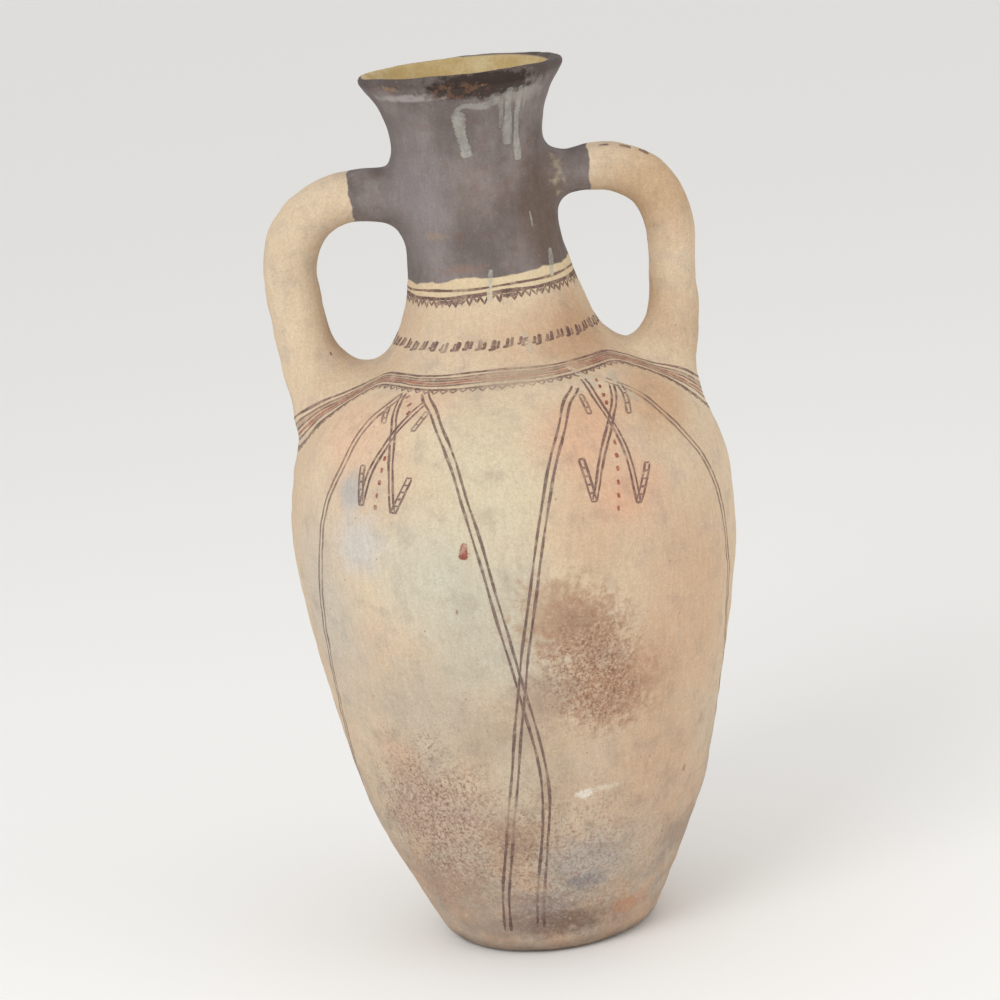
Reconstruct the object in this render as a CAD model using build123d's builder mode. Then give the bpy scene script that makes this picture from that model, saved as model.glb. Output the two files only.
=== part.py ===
"""A hand-built two-handled water amphora in painted earthenware, in millimetres.

The vessel stands upright on +Z with its origin at the centre of its underside. The handles
lie in the XZ plane. It is built as the potter builds it: a floor disc, five rings of coiled
wall and a rim coil, each lapped over the one below on a slanted joint, two pulled handles
seated in shallow sockets, and a collar of soft clay pressed round each handle end.
"""

import os

from build123d import *

# Driving dimensions
HEIGHT = 520.0
FLOOR_THICKNESS = 10.0
FOOT_RADIUS = 55.0
BELLY_RADIUS = 131.2
BELLY_HEIGHT = 256.0
SOCKET_DEPTH = 3.0

# The outside and the inside of the wall, as (radius, height) from the foot up to the lip
OUTER_WALL = [
    (66.0, 7.0),
    (82.0, 40.0),
    (102.3, 90.0),
    (115.0, 142.0),
    (129.6, 228.0),
    (BELLY_RADIUS, BELLY_HEIGHT),
    (122.3, 305.0),
    (104.5, 331.5),
    (84.0, 345.5),
    (65.0, 358.5),
    (52.6, 382.0),
    (44.6, 440.0),
    (44.2, 472.0),
    (50.3, 502.0),
    (59.3, HEIGHT - 3.5),
]
INNER_WALL = [
    (54.0, FLOOR_THICKNESS + 3.0),
    (74.8, 43.4),
    (94.7, 92.5),
    (107.2, 143.8),
    (121.7, 229.0),
    (BELLY_RADIUS - 8.0, BELLY_HEIGHT),
    (115.2, 301.4),
    (99.2, 325.5),
    (79.5, 338.9),
    (59.3, 352.8),
    (45.1, 379.4),
    (37.0, 440.0),
    (36.9, 473.0),
    (43.5, 504.5),
    (53.6, HEIGHT - 1.5),
]
OUTER_ENDS = ((0.43, 0.9), (0.5, 0.87))
INNER_ENDS = ((0.55, 0.83), (0.6, 0.8))
LIP_CREST = (56.8, HEIGHT)
FLOOR_RADIUS = 48.5

# Joints between the wall sections: where each crosses the outside, as (radius, height)
LOWER_JOINT = (111.0, 122.0)
BELLY_JOINT = (BELLY_RADIUS, 246.0)
ROOT_JOINT = (66.0, 357.0)
THROAT_JOINT = (47.2, 404.0)
RIM_JOINT = (45.3, 478.0)
LAP_SLOPE = 0.5
OUTSIDE_REACH = 200.0

# Each handle: its side, the height and reach of its upper arm, its bend and where it lands
HANDLES = {
    "left": {"side": -1, "height": 451.0, "reach": 72.0, "bend": 41.0, "foot": (106.0, 352.0), "girth": 1.0},
    "right": {"side": 1, "height": 454.5, "reach": 70.0, "bend": 39.5, "foot": (105.5, 352.0), "girth": 0.91},
}
ARM_START = 30.0
FOOT_ROOT = (93.0, 320.0)
# Sections of a handle of girth 1: (share of its length, thickness, depth, shift into the loop)
HANDLE_SECTIONS = [
    (0.00, 29.0, 33.0, 0.0),
    (0.18, 29.5, 33.0, 0.0),
    (0.32, 31.5, 33.5, 0.0),
    (0.46, 33.0, 34.0, 0.0),
    (0.58, 33.5, 34.0, 0.0),
    (0.70, 32.5, 35.0, 0.0),
    (0.80, 34.0, 37.5, 0.0),
    (1.00, 36.5, 41.0, 0.0),
]
# Sections of a collar on a handle of girth 1: (share, thickness, depth, shift into the loop)
NECK_COLLAR = [
    (0.02, 52.0, 46.5, 8.5),
    (0.075, 45.0, 41.5, 6.0),
    (0.115, 34.5, 36.0, 2.0),
    (0.17, 30.5, 34.5, 0.0),
]
FOOT_COLLAR = [
    (0.985, 64.0, 56.0, 13.0),
    (0.91, 60.0, 53.0, 11.5),
    (0.86, 54.0, 47.0, 9.0),
    (0.81, 46.5, 42.5, 5.6),
    (0.76, 39.5, 39.0, 2.6),
    (0.72, 34.6, 36.5, 0.5),
]



def write(piece, name):
    """Labels a finished piece and writes it as its own STEP file."""
    piece.part.label = name
    export_step(piece.part, f"parts/{name}.step")
    print(name, "solids", len(piece.part.solids()), "volume", round(piece.part.volume))


def filled_vessel(inset):
    """The vessel as if it were solid, with its surface moved in and down by inset."""
    with BuildPart() as filled:
        with BuildSketch(Plane.XZ):
            with BuildLine():
                surface = Spline(*[(r - inset, z - inset) for r, z in OUTER_WALL], tangents=OUTER_ENDS)
                Polyline(surface @ 1, (0, (surface @ 1).Y), (0, (surface @ 0).Y), surface @ 0)
            make_face()
        revolve(axis=Axis.Z)
    return filled.part


def wall_outline():
    """Half the section of the whole vessel: floor and wall in one outline."""
    with BuildSketch(Plane.XZ) as outline:
        with BuildLine():
            outer = Spline(*OUTER_WALL, tangents=OUTER_ENDS)
            inner = Spline(*INNER_WALL, tangents=INNER_ENDS)
            ThreePointArc(outer @ 1, LIP_CREST, inner @ 1)
            TangentArc((FOOT_RADIUS, 0), outer @ 0, tangent=(1, 0))
            TangentArc((FLOOR_RADIUS, FLOOR_THICKNESS), inner @ 0, tangent=(1, 0))
            Polyline((FOOT_RADIUS, 0), (0, 0), (0, FLOOR_THICKNESS), (FLOOR_RADIUS, FLOOR_THICKNESS))
        make_face()
    return outline.sketch


def lap_line(joint):
    """The two ends of a slanted joint, which rises from the outside of the wall to the axis."""
    radius, height = joint
    on_axis = (0, height + radius * LAP_SLOPE)
    outside = (OUTSIDE_REACH, height - (OUTSIDE_REACH - radius) * LAP_SLOPE)
    return on_axis, outside


def level_line(height):
    """The two ends of a level joint."""
    return (0, height), (OUTSIDE_REACH, height)


def wall_section(outline, below, above):
    """The ring of wall between two joint lines."""
    with BuildPart() as ring:
        with BuildSketch(Plane.XZ):
            add(outline)
            with BuildLine():
                Polyline(below[0], below[1], above[1], above[0], close=True)
            make_face(mode=Mode.INTERSECT)
        revolve(axis=Axis.Z)
    return ring.part


def handle_route(side, height, reach, bend, foot):
    """Centre line of a handle: out from the neck, round its bend and down to the shoulder."""
    with BuildLine(Plane.XZ) as route:
        arm = Line((side * ARM_START, height), (side * reach, height))
        turn = TangentArc(arm @ 1, (side * (reach + bend), height - bend), tangent=(side, 0))
        leg = TangentArc(turn @ 1, (side * foot[0], foot[1]), tangent=(0, -1))
        TangentArc(leg @ 1, (side * FOOT_ROOT[0], FOOT_ROOT[1]), tangent=leg % 1)
    return route.wire()


def oval_bar(route, side, girth, sections):
    """A solid through oval sections set along a handle's centre line."""
    with BuildPart() as bar:
        for share, thickness, depth, shift in sections:
            along = route % share
            into_loop = Vector(0, side, 0).cross(along)
            with BuildSketch(Plane(route @ share + into_loop * shift, x_dir=(0, 1, 0), z_dir=along)):
                Ellipse(depth * girth / 2, thickness * girth / 2)
        loft()
    return bar.part


os.makedirs("parts", exist_ok=True)
outside = filled_vessel(0)
socket_surface = filled_vessel(SOCKET_DEPTH)
bars = []

# Handles and their collars
for name, spec in HANDLES.items():
    side, girth = spec["side"], spec["girth"]
    route = handle_route(side, spec["height"], spec["reach"], spec["bend"], spec["foot"])
    bar = oval_bar(route, side, girth, HANDLE_SECTIONS)
    bars.append(bar)
    with BuildPart() as handle:
        add(bar)
        add(socket_surface, mode=Mode.SUBTRACT)
    write(handle, f"{name}_handle")

    for end, sections in {"neck": NECK_COLLAR, "foot": FOOT_COLLAR}.items():
        with BuildPart() as collar:
            add(oval_bar(route, side, girth, sections))
            add(outside, mode=Mode.SUBTRACT)
            add(bar, mode=Mode.SUBTRACT)
        write(collar, f"{name}_{end}_collar")

# Wall sections from the floor up, with sockets in the shoulder and the neck for the handles
outline = wall_outline()
joints = {
    "floor_disc": (level_line(-1), level_line(FLOOR_THICKNESS)),
    "lower_wall": (level_line(FLOOR_THICKNESS), lap_line(LOWER_JOINT)),
    "belly_wall": (lap_line(LOWER_JOINT), lap_line(BELLY_JOINT)),
    "shoulder": (lap_line(BELLY_JOINT), lap_line(ROOT_JOINT)),
    "neck_root": (lap_line(ROOT_JOINT), lap_line(THROAT_JOINT)),
    "neck": (lap_line(THROAT_JOINT), lap_line(RIM_JOINT)),
    "rim": (lap_line(RIM_JOINT), level_line(HEIGHT + 1)),
}
with BuildPart() as sockets:
    add(bars)
    add(socket_surface, mode=Mode.SUBTRACT)
for name, (below, above) in joints.items():
    with BuildPart() as section:
        add(wall_section(outline, below, above))
        if name in ("shoulder", "neck"):
            add(sockets.part, mode=Mode.SUBTRACT)
    write(section, name)
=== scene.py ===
"""Painted two-handled amphora: one hand-built clay surface, worked out from the CAD frame.

The CAD wall, handles and collars are merged into a single smooth body of clay, given the
unevenness of hand building, and cut again into closed pieces that stand for the CAD nodes.
The painted lines are thin slabs of pigment laid on that surface. Positions on the vessel are
(azimuth, height): azimuth in degrees from the front towards the right handle, height in mm.
"""

import math

import bmesh
import bpy
import numpy as np
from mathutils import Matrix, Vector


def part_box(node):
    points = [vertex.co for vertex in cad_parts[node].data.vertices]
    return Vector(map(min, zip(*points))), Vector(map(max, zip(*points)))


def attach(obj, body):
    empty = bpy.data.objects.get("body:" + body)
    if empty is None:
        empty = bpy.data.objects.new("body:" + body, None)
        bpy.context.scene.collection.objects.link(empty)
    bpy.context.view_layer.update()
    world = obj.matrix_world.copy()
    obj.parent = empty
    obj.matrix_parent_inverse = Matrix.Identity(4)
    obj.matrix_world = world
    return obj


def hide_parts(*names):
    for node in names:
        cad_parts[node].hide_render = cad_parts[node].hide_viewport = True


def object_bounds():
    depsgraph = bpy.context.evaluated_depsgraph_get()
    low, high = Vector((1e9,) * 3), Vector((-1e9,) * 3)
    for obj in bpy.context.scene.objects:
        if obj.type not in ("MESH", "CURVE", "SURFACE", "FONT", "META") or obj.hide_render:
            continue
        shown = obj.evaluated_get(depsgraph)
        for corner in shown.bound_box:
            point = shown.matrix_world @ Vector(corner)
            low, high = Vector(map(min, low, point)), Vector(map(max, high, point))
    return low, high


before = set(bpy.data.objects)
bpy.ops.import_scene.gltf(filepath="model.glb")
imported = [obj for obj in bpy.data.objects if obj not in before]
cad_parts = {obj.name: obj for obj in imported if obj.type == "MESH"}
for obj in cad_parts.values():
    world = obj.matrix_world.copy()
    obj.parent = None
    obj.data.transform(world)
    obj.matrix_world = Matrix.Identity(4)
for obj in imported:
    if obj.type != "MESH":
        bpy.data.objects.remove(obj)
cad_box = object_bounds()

import openvdb
from mathutils import Matrix, Vector
from mathutils.bvhtree import BVHTree
from mathutils.interpolate import poly_3d_calc

MM = 0.001
VOXEL = 1.8 * MM
HEIGHT = cad_box[1][2]
PROFILE_STEP = 0.5 * MM
# How far from a cutting plane the corners of the faces that it cuts can lie
CUT_REACH = 4 * MM
WALL_NODES = ["floor_disc", "lower_wall", "belly_wall", "shoulder", "neck_root", "neck", "rim"]
SIDES = {"left": -1, "right": 1}
# How far the wall leans towards the right handle: height and lean in mm
LEAN = [
    (0, -0.8), (70, -0.7), (120, 0.3), (200, 1.4), (320, 1.5), (350, 2.2), (380, 3.5),
    (398, 2.3), (418, 0.2), (440, -1.8), (476, -3.2), (498, -2.2), (520, -2.2),
]
# Unevenness of wall and handles: amount in mm, wavelength in mm, seed
WALL_RIPPLES = [(0.35, 150, 1), (0.26, 52, 2), (0.11, 19, 5)]
GRIP_RIPPLES = [(0.45, 48, 6), (0.22, 19, 7)]
COIL_PITCH = 17 * MM
# Chips in the lip: azimuth, height, radius of the ball that bites it and depth of the bite in mm
RIM_CHIPS = [
    (-10, 517, 7, 1.4), (-2, 515, 5, 1.1), (9, 516.5, 6, 1.2), (-48, 517, 8, 1.0), (120, 517, 7, 1.3),
]

# ---------------------------------------------------------------- the body of clay


def node_mesh(name):
    """Points and triangles of a CAD node at rest."""
    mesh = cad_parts[name].data
    mesh.calc_loop_triangles()
    points = np.empty(len(mesh.vertices) * 3, np.float32)
    mesh.vertices.foreach_get("co", points)
    corners = np.empty(len(mesh.loop_triangles) * 3, np.int32)
    mesh.loop_triangles.foreach_get("vertices", corners)
    return points.reshape(-1, 3), corners.reshape(-1, 3)


def wall_profile():
    """Heights with the outer and inner radius of the CAD wall, measured away from the handles."""
    heights = np.arange(PROFILE_STEP / 2, HEIGHT, PROFILE_STEP)
    outer = np.full(len(heights), -1.0)
    inner = np.full(len(heights), 1.0)
    for name in WALL_NODES:
        points, triangles = node_mesh(name)
        tree = BVHTree.FromPolygons(points.tolist(), triangles.tolist())
        for index, height in enumerate(heights):
            outside = tree.ray_cast(Vector((0, 1, height)), Vector((0, -1, 0)))[0]
            if outside is None or outside.y < 0:
                continue
            outer[index] = max(outer[index], outside.y)
            inside = tree.ray_cast(Vector((0, 0, height)), Vector((0, 1, 0)))[0]
            if inside is not None and name != "floor_disc":
                inner[index] = min(inner[index], inside.y)
    return heights, outer, inner


def wall_outline():
    """Closely spaced points round the half section of floor and wall."""
    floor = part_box("floor_disc")[1].z
    hollow = PROFILE_Z > floor
    outside = np.stack([OUTER_R, PROFILE_Z], 1)
    inside = np.stack([INNER_R, PROFILE_Z], 1)[hollow]
    level = [(0.0, OUTER_R[0], 0.0), (0.0, inside[0, 0], floor), (inside[-1, 0], OUTER_R[-1], HEIGHT)]
    flats = [np.array([(r, z) for r in np.arange(low, high, PROFILE_STEP)]) for low, high, z in level]
    return np.concatenate([outside, inside, *flats]).astype(np.float32), floor


def wall_distance(x_axis, y_axis, z_axis):
    """Signed distance to floor and wall on the whole grid, from a table over radius and height."""
    outline, floor = wall_outline()
    table_reach = 200 * MM
    table_step = 0.75 * MM
    farthest = 60 * MM
    radii = np.arange(0, table_reach, table_step, dtype=np.float32)
    radius = np.hypot(x_axis[:, None], y_axis[None, :]).ravel()
    grid = np.empty((len(x_axis), len(y_axis), len(z_axis)), np.float32)
    for index, height in enumerate(z_axis):
        near = outline[np.abs(outline[:, 1] - height) < farthest]
        far = np.hypot(radii[:, None] - near[:, 0], height - near[:, 1]).min(1)
        hollow_r = np.interp(height, PROFILE_Z, INNER_R) if height > floor else -1.0
        outer_r = np.interp(height, PROFILE_Z, OUTER_R)
        clay = (radii < outer_r) & (radii > hollow_r) & (0 < height < HEIGHT)
        grid[:, :, index] = np.interp(radius, radii, np.where(clay, -far, far)).reshape(grid.shape[:2])
    return grid


def node_distance(name, origin, shape):
    """Signed distance to one CAD node on a block of the grid."""
    points, triangles = node_mesh(name)
    solid = openvdb.FloatGrid.createLevelSetFromPolygons(
        points,
        triangles=triangles.astype(np.uint32),
        transform=openvdb.createLinearTransform(voxelSize=VOXEL),
        exBandWidth=14.0,
        inBandWidth=8.0,
    )
    block = np.empty(shape, np.float32)
    solid.copyToArray(block, ijk=tuple(int(v) for v in origin))
    return block


def smooth_union(a, b, reach):
    """Union of two distance fields with a fillet of about the given reach."""
    overlap = np.maximum(reach - np.abs(a - b), 0) / reach
    return np.minimum(a, b) - overlap**2 * reach / 4


def soften(block, rounds):
    """Blurs a block of the grid a little along each axis."""
    for _ in range(rounds):
        for axis in range(3):
            size = block.shape[axis]
            padded = np.concatenate([block.take([0], axis), block, block.take([-1], axis)], axis)
            shifted = [padded.take(range(start, start + size), axis) for start in range(3)]
            block = 0.25 * shifted[0] + 0.5 * shifted[1] + 0.25 * shifted[2]
    return block


def handle_distance(side, low, high):
    """Distance field of one handle with its collars worked in, and its block of the grid."""
    parts = [f"{side}_handle", f"{side}_neck_collar", f"{side}_foot_collar"]
    corners = np.array([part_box(part) for part in parts])
    margin = 16 * MM
    start = np.maximum(np.floor((corners[:, 0].min(0) - margin) / VOXEL).astype(int), low)
    stop = np.minimum(np.ceil((corners[:, 1].max(0) + margin) / VOXEL).astype(int), high)
    shape = tuple(stop - start + 1)
    grip, neck_end, foot_end = (node_distance(part, start, shape) for part in parts)

    # a union swells where surfaces nearly meet, so collars are pared, the foot's most at its top
    pared = 1.7 * MM
    fillet = 10 * MM
    taper_length = 26 * MM
    taper = 4 * MM
    heights = (start[2] + np.arange(shape[2])) * VOXEL
    tapered = np.clip((heights - corners[2, 1, 2]) / taper_length + 1, 0, 1) * taper
    grip = smooth_union(grip, neck_end + pared, fillet)
    grip = smooth_union(grip, foot_end + pared + tapered, fillet)
    return soften(grip, 14), tuple(slice(a, a + n) for a, n in zip(start - low, shape))


def fillet_reach(x_axis, z_axis):
    """Reach of the fillet between handle and wall: 11 mm, but 19 outside each foot and 10 inside it."""
    outside = np.interp(np.abs(x_axis), (92 * MM, 106 * MM), (0, 1))[:, None, None]
    at_foot = np.interp(z_axis, (375 * MM, 420 * MM), (1, 0))
    return (11 + (9 * outside - 1) * at_foot) * MM


def chip_rim(body, axes):
    """Takes shallow round chips out of the lip."""
    for azimuth, height, size, depth in RIM_CHIPS:
        radius = float(np.interp(height * MM, PROFILE_Z, OUTER_R)) + (size - depth) * MM
        offsets = [axis - c for axis, c in zip(axes, around(azimuth, radius, height * MM))]
        ball = np.sqrt(offsets[0][:, None, None] ** 2 + offsets[1][:, None] ** 2 + offsets[2] ** 2)
        body = np.maximum(body, size * MM - ball)
    return body


def clay_body():
    """The whole vessel as one closed surface: points and quads."""
    margin = 6 * MM
    low = np.floor((np.array(cad_box[0]) - margin) / VOXEL).astype(int)
    high = np.ceil((np.array(cad_box[1]) + margin) / VOXEL).astype(int)
    axes = [np.arange(a, b + 1, dtype=np.float32) * VOXEL for a, b in zip(low, high)]
    body = wall_distance(*axes)
    for side in SIDES:
        grip, place = handle_distance(side, low, high)
        body[place] = smooth_union(body[place], grip, fillet_reach(axes[0][place[0]], axes[2][place[2]]))
    body = chip_rim(body, axes)
    background = 4 * VOXEL
    volume = openvdb.FloatGrid(background)
    volume.transform = openvdb.createLinearTransform(voxelSize=VOXEL)
    volume.copyFromArray(np.clip(body, -background, background), ijk=tuple(int(v) for v in low))
    points, quads = volume.convertToQuads(0.0)
    return points.astype(np.float64), quads.astype(np.int64)


def around(azimuth, radius, height):
    """The point at an azimuth in degrees, a radius and a height."""
    turn = math.radians(azimuth)
    return Vector((radius * math.sin(turn), -radius * math.cos(turn), height))


def relaxed(points, quads, rounds):
    """Evens out the grid pattern in the surface without shrinking it."""
    here = np.concatenate([quads, np.roll(quads, -1, 1)]).ravel()
    there = np.concatenate([np.roll(quads, -1, 1), quads]).ravel()
    count = np.bincount(here, minlength=len(points))[:, None]
    for step in [0.5, -0.52] * rounds:
        sums = [np.bincount(here, points[there, axis], len(points)) for axis in range(3)]
        points = points + step * (np.stack(sums, 1) / count - points)
    return points


def vertex_normals(points, quads):
    """Smooth unit normals of the surface at its points."""
    across = np.cross(points[quads[:, 2]] - points[quads[:, 0]], points[quads[:, 3]] - points[quads[:, 1]])
    sums = [np.bincount(quads.ravel(), np.repeat(across[:, axis], 4), len(points)) for axis in range(3)]
    normals = np.stack(sums, 1)
    return normals / np.linalg.norm(normals, axis=1, keepdims=True)


def ripple(points, wavelength, seed, count=28):
    """A smooth random field of about unit height: a sum of plane waves near one wavelength in mm."""
    rng = np.random.default_rng(seed)
    field = np.zeros(len(points))
    for _ in range(count):
        direction = rng.normal(size=3)
        wave = direction / np.linalg.norm(direction) * 2 * math.pi / (wavelength * MM * rng.uniform(0.7, 1.5))
        field += np.sin(points @ wave + rng.uniform(0, 2 * math.pi))
    return field / math.sqrt(count / 2)


def ease(values, low, high):
    """Smooth step from 0 at low to 1 at high."""
    share = np.clip((values - low) / (high - low), 0, 1)
    return share * share * (3 - 2 * share)


def lean(height):
    """How far the wall leans towards the right handle at each height, in mm."""
    levels = np.arange(-20.0, 540.0)
    window = np.hanning(23)
    even = np.convolve(np.interp(levels, *np.array(LEAN).T), window / window.sum(), "same")
    return np.interp(height / MM, levels, even)


def ripples(points, layers):
    """Several ripples added up."""
    return sum(amount * ripple(points, wavelength, seed) for amount, wavelength, seed in layers)


def hand_built(points, normals):
    """Moves the surface as coils, fingers and scraper leave it, and keeps it in the CAD box."""
    height = points[:, 2]
    reach = np.hypot(points[:, 0], points[:, 1]) - np.interp(height, PROFILE_Z, OUTER_R)
    on_handle = ease(reach, 1 * MM, 9 * MM)
    coils = np.sin(2 * math.pi * height / COIL_PITCH + 1.6 * ripple(points, 95, 3))
    coils *= 0.15 * (0.6 + 0.4 * ripple(points, 70, 4))
    wall = ripples(points, WALL_RIPPLES) + coils - 0.2
    grip = ripples(points, GRIP_RIPPLES) - 0.1
    push = wall * (1 - on_handle) + grip * on_handle + 0.035 * ripple(points, 7, 8)
    under = ease(-normals[:, 2], 0.6, 0.9) * ease(-height, -6 * MM, 0)
    moved = points + normals * (push * (1 - under) * MM)[:, None]
    moved[:, 0] += lean(height) * (1 - on_handle) * MM
    dip = (0.4 + 0.7 * ripple(points * (1, 1, 0), 110, 9)) * ease(height, 470 * MM, HEIGHT)
    moved[:, 2] -= np.maximum(dip, 0) * MM
    return np.clip(moved, np.array(cad_box[0]), np.array(cad_box[1]))


# ---------------------------------------------------------------- pieces cut from the body


def cut(bm, point, normal, within):
    """Cuts the faces near a plane that lie within some bounds, and parts them there."""
    near = [face for face in bm.faces if abs((face.verts[0].co - point).dot(normal)) < CUT_REACH]
    faces = [face for face in near if within(face.verts[0].co)]
    geometry = dict.fromkeys(item for face in faces for item in (face, *face.edges, *face.verts))
    result = bmesh.ops.bisect_plane(bm, geom=list(geometry), dist=1e-7, plane_co=point, plane_no=normal)
    edges = [item for item in result["geom_cut"] if isinstance(item, bmesh.types.BMEdge)]
    bmesh.ops.split_edges(bm, edges=edges)


def cut_wall(bm):
    """Level cuts between the rings of the wall. Those of the neck stop short of the handles."""
    up = Vector((0, 0, 1))
    neck_reach = 70 * MM
    levels = {name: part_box(name)[0].z for name in WALL_NODES[1:]}
    levels["lower_wall"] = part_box("floor_disc")[1].z - 2 * MM
    levels["neck_root"] += 5 * MM
    for name, height in levels.items():
        wide = name in ("lower_wall", "belly_wall", "shoulder")
        cut(bm, up * height, up, lambda co: wide or math.hypot(co.x, co.y) < neck_reach)


def cut_handles(bm):
    """Cuts each handle from its two collars, and the collars from the wall."""
    up = Vector((0, 0, 1))
    arm_top = 480 * MM
    arm_half = 32 * MM
    leg_inside = 76 * MM
    seat_inside = 64 * MM
    seat_half = 48 * MM
    for side, sign in SIDES.items():
        low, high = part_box(f"{side}_neck_collar")
        arm_low = low.z - 2 * MM
        root, tip = sorted((abs(low.x), abs(high.x)))
        along = Vector((sign, 0, 0))
        for reach in (root + 13.5 * MM, tip - 0.5 * MM):
            cut(bm, along * reach, along, lambda co: arm_low < co.z < arm_top and abs(co.y) < arm_half)
        leg_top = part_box(f"{side}_foot_collar")[1].z - 3 * MM
        cut(bm, up * leg_top, up, lambda co: co.x * sign > leg_inside)
        seat = Vector((97.3 * sign, 0, 343.3)) * MM
        slope = Vector((0.57 * sign, 0, 0.82))
        cut(bm, seat, slope, lambda co: co.x * sign > seat_inside and abs(co.y) < seat_half)


def connected(items, neighbours):
    """The groups of items that hang together, in the same order on every run."""
    waiting = dict.fromkeys(items)
    groups = []
    while waiting:
        group = [waiting.popitem()[0]]
        for item in group:
            for other in neighbours(item):
                if other in waiting:
                    del waiting[other]
                    group.append(other)
        groups.append(group)
    return groups


def cap_single(bm, loop):
    """Closes one open loop with a fan about its middle."""
    corners = dict.fromkeys(vert for edge in loop for vert in edge.verts)
    middle = bm.verts.new(sum((vert.co for vert in corners), Vector()) / len(corners))
    for edge in loop:
        corner = edge.link_loops[0]
        bm.faces.new((corner.link_loop_next.vert, corner.vert, middle))


def cap(bm):
    """Closes every open loop: rings of wall between two loops, handle ends with a fan."""
    rims = (edge for edge in bm.edges if edge.is_boundary)
    loops = connected(rims, lambda edge: (other for vert in edge.verts for other in vert.link_edges))
    flat = {}
    for loop in loops:
        heights = [vert.co.z for edge in loop for vert in edge.verts]
        centre = sum((vert.co for edge in loop for vert in edge.verts), Vector()) / (2 * len(loop))
        level = max(heights) - min(heights) < 0.01 * MM and math.hypot(centre.x, centre.y) < 20 * MM
        flat.setdefault(round(centre.z / (2 * MM)) if level else id(loop), []).append(loop)
    for group in flat.values():
        if len(group) == 2:
            bmesh.ops.bridge_loops(bm, edges=[edge for loop in group for edge in loop])
        else:
            for loop in group:
                cap_single(bm, loop)


def make_piece(name, faces, normal_layer, material):
    """One closed piece, whose outer surface keeps the shading of the uncut body."""
    piece = bmesh.new()
    copies = {}
    for face in faces:
        corners = []
        for vert in face.verts:
            if vert not in copies:
                copies[vert] = piece.verts.new(vert.co)
            corners.append(copies[vert])
        piece.faces.new(corners)
    skin = len(piece.faces)
    shading = np.array([vert[normal_layer][:] for vert in copies])
    cap(piece)
    bmesh.ops.recalc_face_normals(piece, faces=piece.faces)
    mesh = bpy.data.meshes.new(name)
    piece.to_mesh(mesh)
    piece.free()
    mesh.shade_smooth()
    corner_verts = np.empty(len(mesh.loops), np.int32)
    mesh.loops.foreach_get("vertex_index", corner_verts)
    normals = np.zeros((len(mesh.loops), 3))
    skin_corners = mesh.polygons[skin - 1].loop_start + mesh.polygons[skin - 1].loop_total
    normals[:skin_corners] = shading[corner_verts[:skin_corners]]
    for polygon in mesh.polygons[skin:]:
        normals[polygon.loop_start : polygon.loop_start + polygon.loop_total] = polygon.normal
    mesh.normals_split_custom_set(normals.tolist())
    mesh.materials.append(material)
    return add_object(name, mesh)


def placed(name, data):
    """A new object in the scene."""
    made = bpy.data.objects.new(name, data)
    bpy.context.scene.collection.objects.link(made)
    return made


def add_object(name, mesh):
    """Puts a mesh in the scene as a piece that rides on the body of the vessel."""
    piece = placed(name, mesh)
    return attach(piece, "root")


def cut_pieces(points, quads, normals, material):
    """Cuts the body, closes the pieces, and lets each replace its CAD node."""
    mesh = bpy.data.meshes.new("whole")
    mesh.from_pydata(points.tolist(), [], quads.tolist())
    bm = bmesh.new()
    bm.from_mesh(mesh)
    bpy.data.meshes.remove(mesh)
    layer = bm.verts.layers.float_vector.new("shading")
    for vert, normal in zip(bm.verts, normals):
        vert[layer] = normal
    cut_wall(bm)
    cut_handles(bm)
    middles = {node: (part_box(node)[0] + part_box(node)[1]) / 2 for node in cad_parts}
    skins = {node: [] for node in middles}
    parts = connected(bm.faces, lambda face: (other for edge in face.edges for other in edge.link_faces))
    for faces in parts:
        corners = np.array([face.verts[0].co for face in faces])
        middle = Vector((corners.min(0) + corners.max(0)) / 2)
        skins[min(middles, key=lambda node: (middles[node] - middle).length)] += faces
    for node, faces in skins.items():
        piece = make_piece(f"{node}_clay", faces, layer, material)
        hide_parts(node)
    bm.free()


# ---------------------------------------------------------------- painted strokes


def smooth_path(stops, spacing):
    """Points along a smooth curve through the stops, at most the given spacing apart."""
    stops = [np.array(stop, float) for stop in stops]
    padded = [2 * stops[0] - stops[1], *stops, 2 * stops[-1] - stops[-2]]
    path = []
    for before, start, end, after in zip(padded, padded[1:], padded[2:], padded[3:]):
        steps = max(2, int(math.ceil(np.linalg.norm(end - start) / spacing)))
        for share in np.arange(steps) / steps:
            lift = share * share
            cube = lift * share
            point = 2 * start + (end - before) * share
            point = point + (2 * before - 5 * start + 4 * end - after) * lift
            path.append((point + (3 * start - before - 3 * end + after) * cube) / 2)
    path.append(stops[-1])
    return path


# Height in mm from which a handle stands close beside the wall
HANDLE_LOOP_LOW = 352


class Surface:
    """The finished clay surface, to lay paint on."""

    def __init__(self, points, quads, normals):
        self.points, self.quads, self.normals = points, quads, normals
        self.tree = BVHTree.FromPolygons(points.tolist(), quads.tolist())

    def shading(self, place, index):
        """The smooth normal at a place on one quad."""
        corners = self.quads[index]
        weights = poly_3d_calc([Vector(self.points[corner]) for corner in corners], place)
        return Vector(np.array(weights) @ self.normals[corners]).normalized()

    def at(self, azimuth, height):
        """The place and normal that a level ray meets. It starts inside the loop of a handle."""
        clear = 6 * MM if height > HANDLE_LOOP_LOW else 30 * MM
        start = around(azimuth, float(np.interp(height * MM, PROFILE_Z, OUTER_R)) + clear, height * MM)
        place, _, index, _ = self.tree.ray_cast(start, Vector((-start.x, -start.y, 0)).normalized())
        return place, self.shading(place, index)

    def near(self, point):
        """The nearest place on the surface, and its normal."""
        place, _, index, _ = self.tree.find_nearest(point)
        return place, self.shading(place, index)


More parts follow.
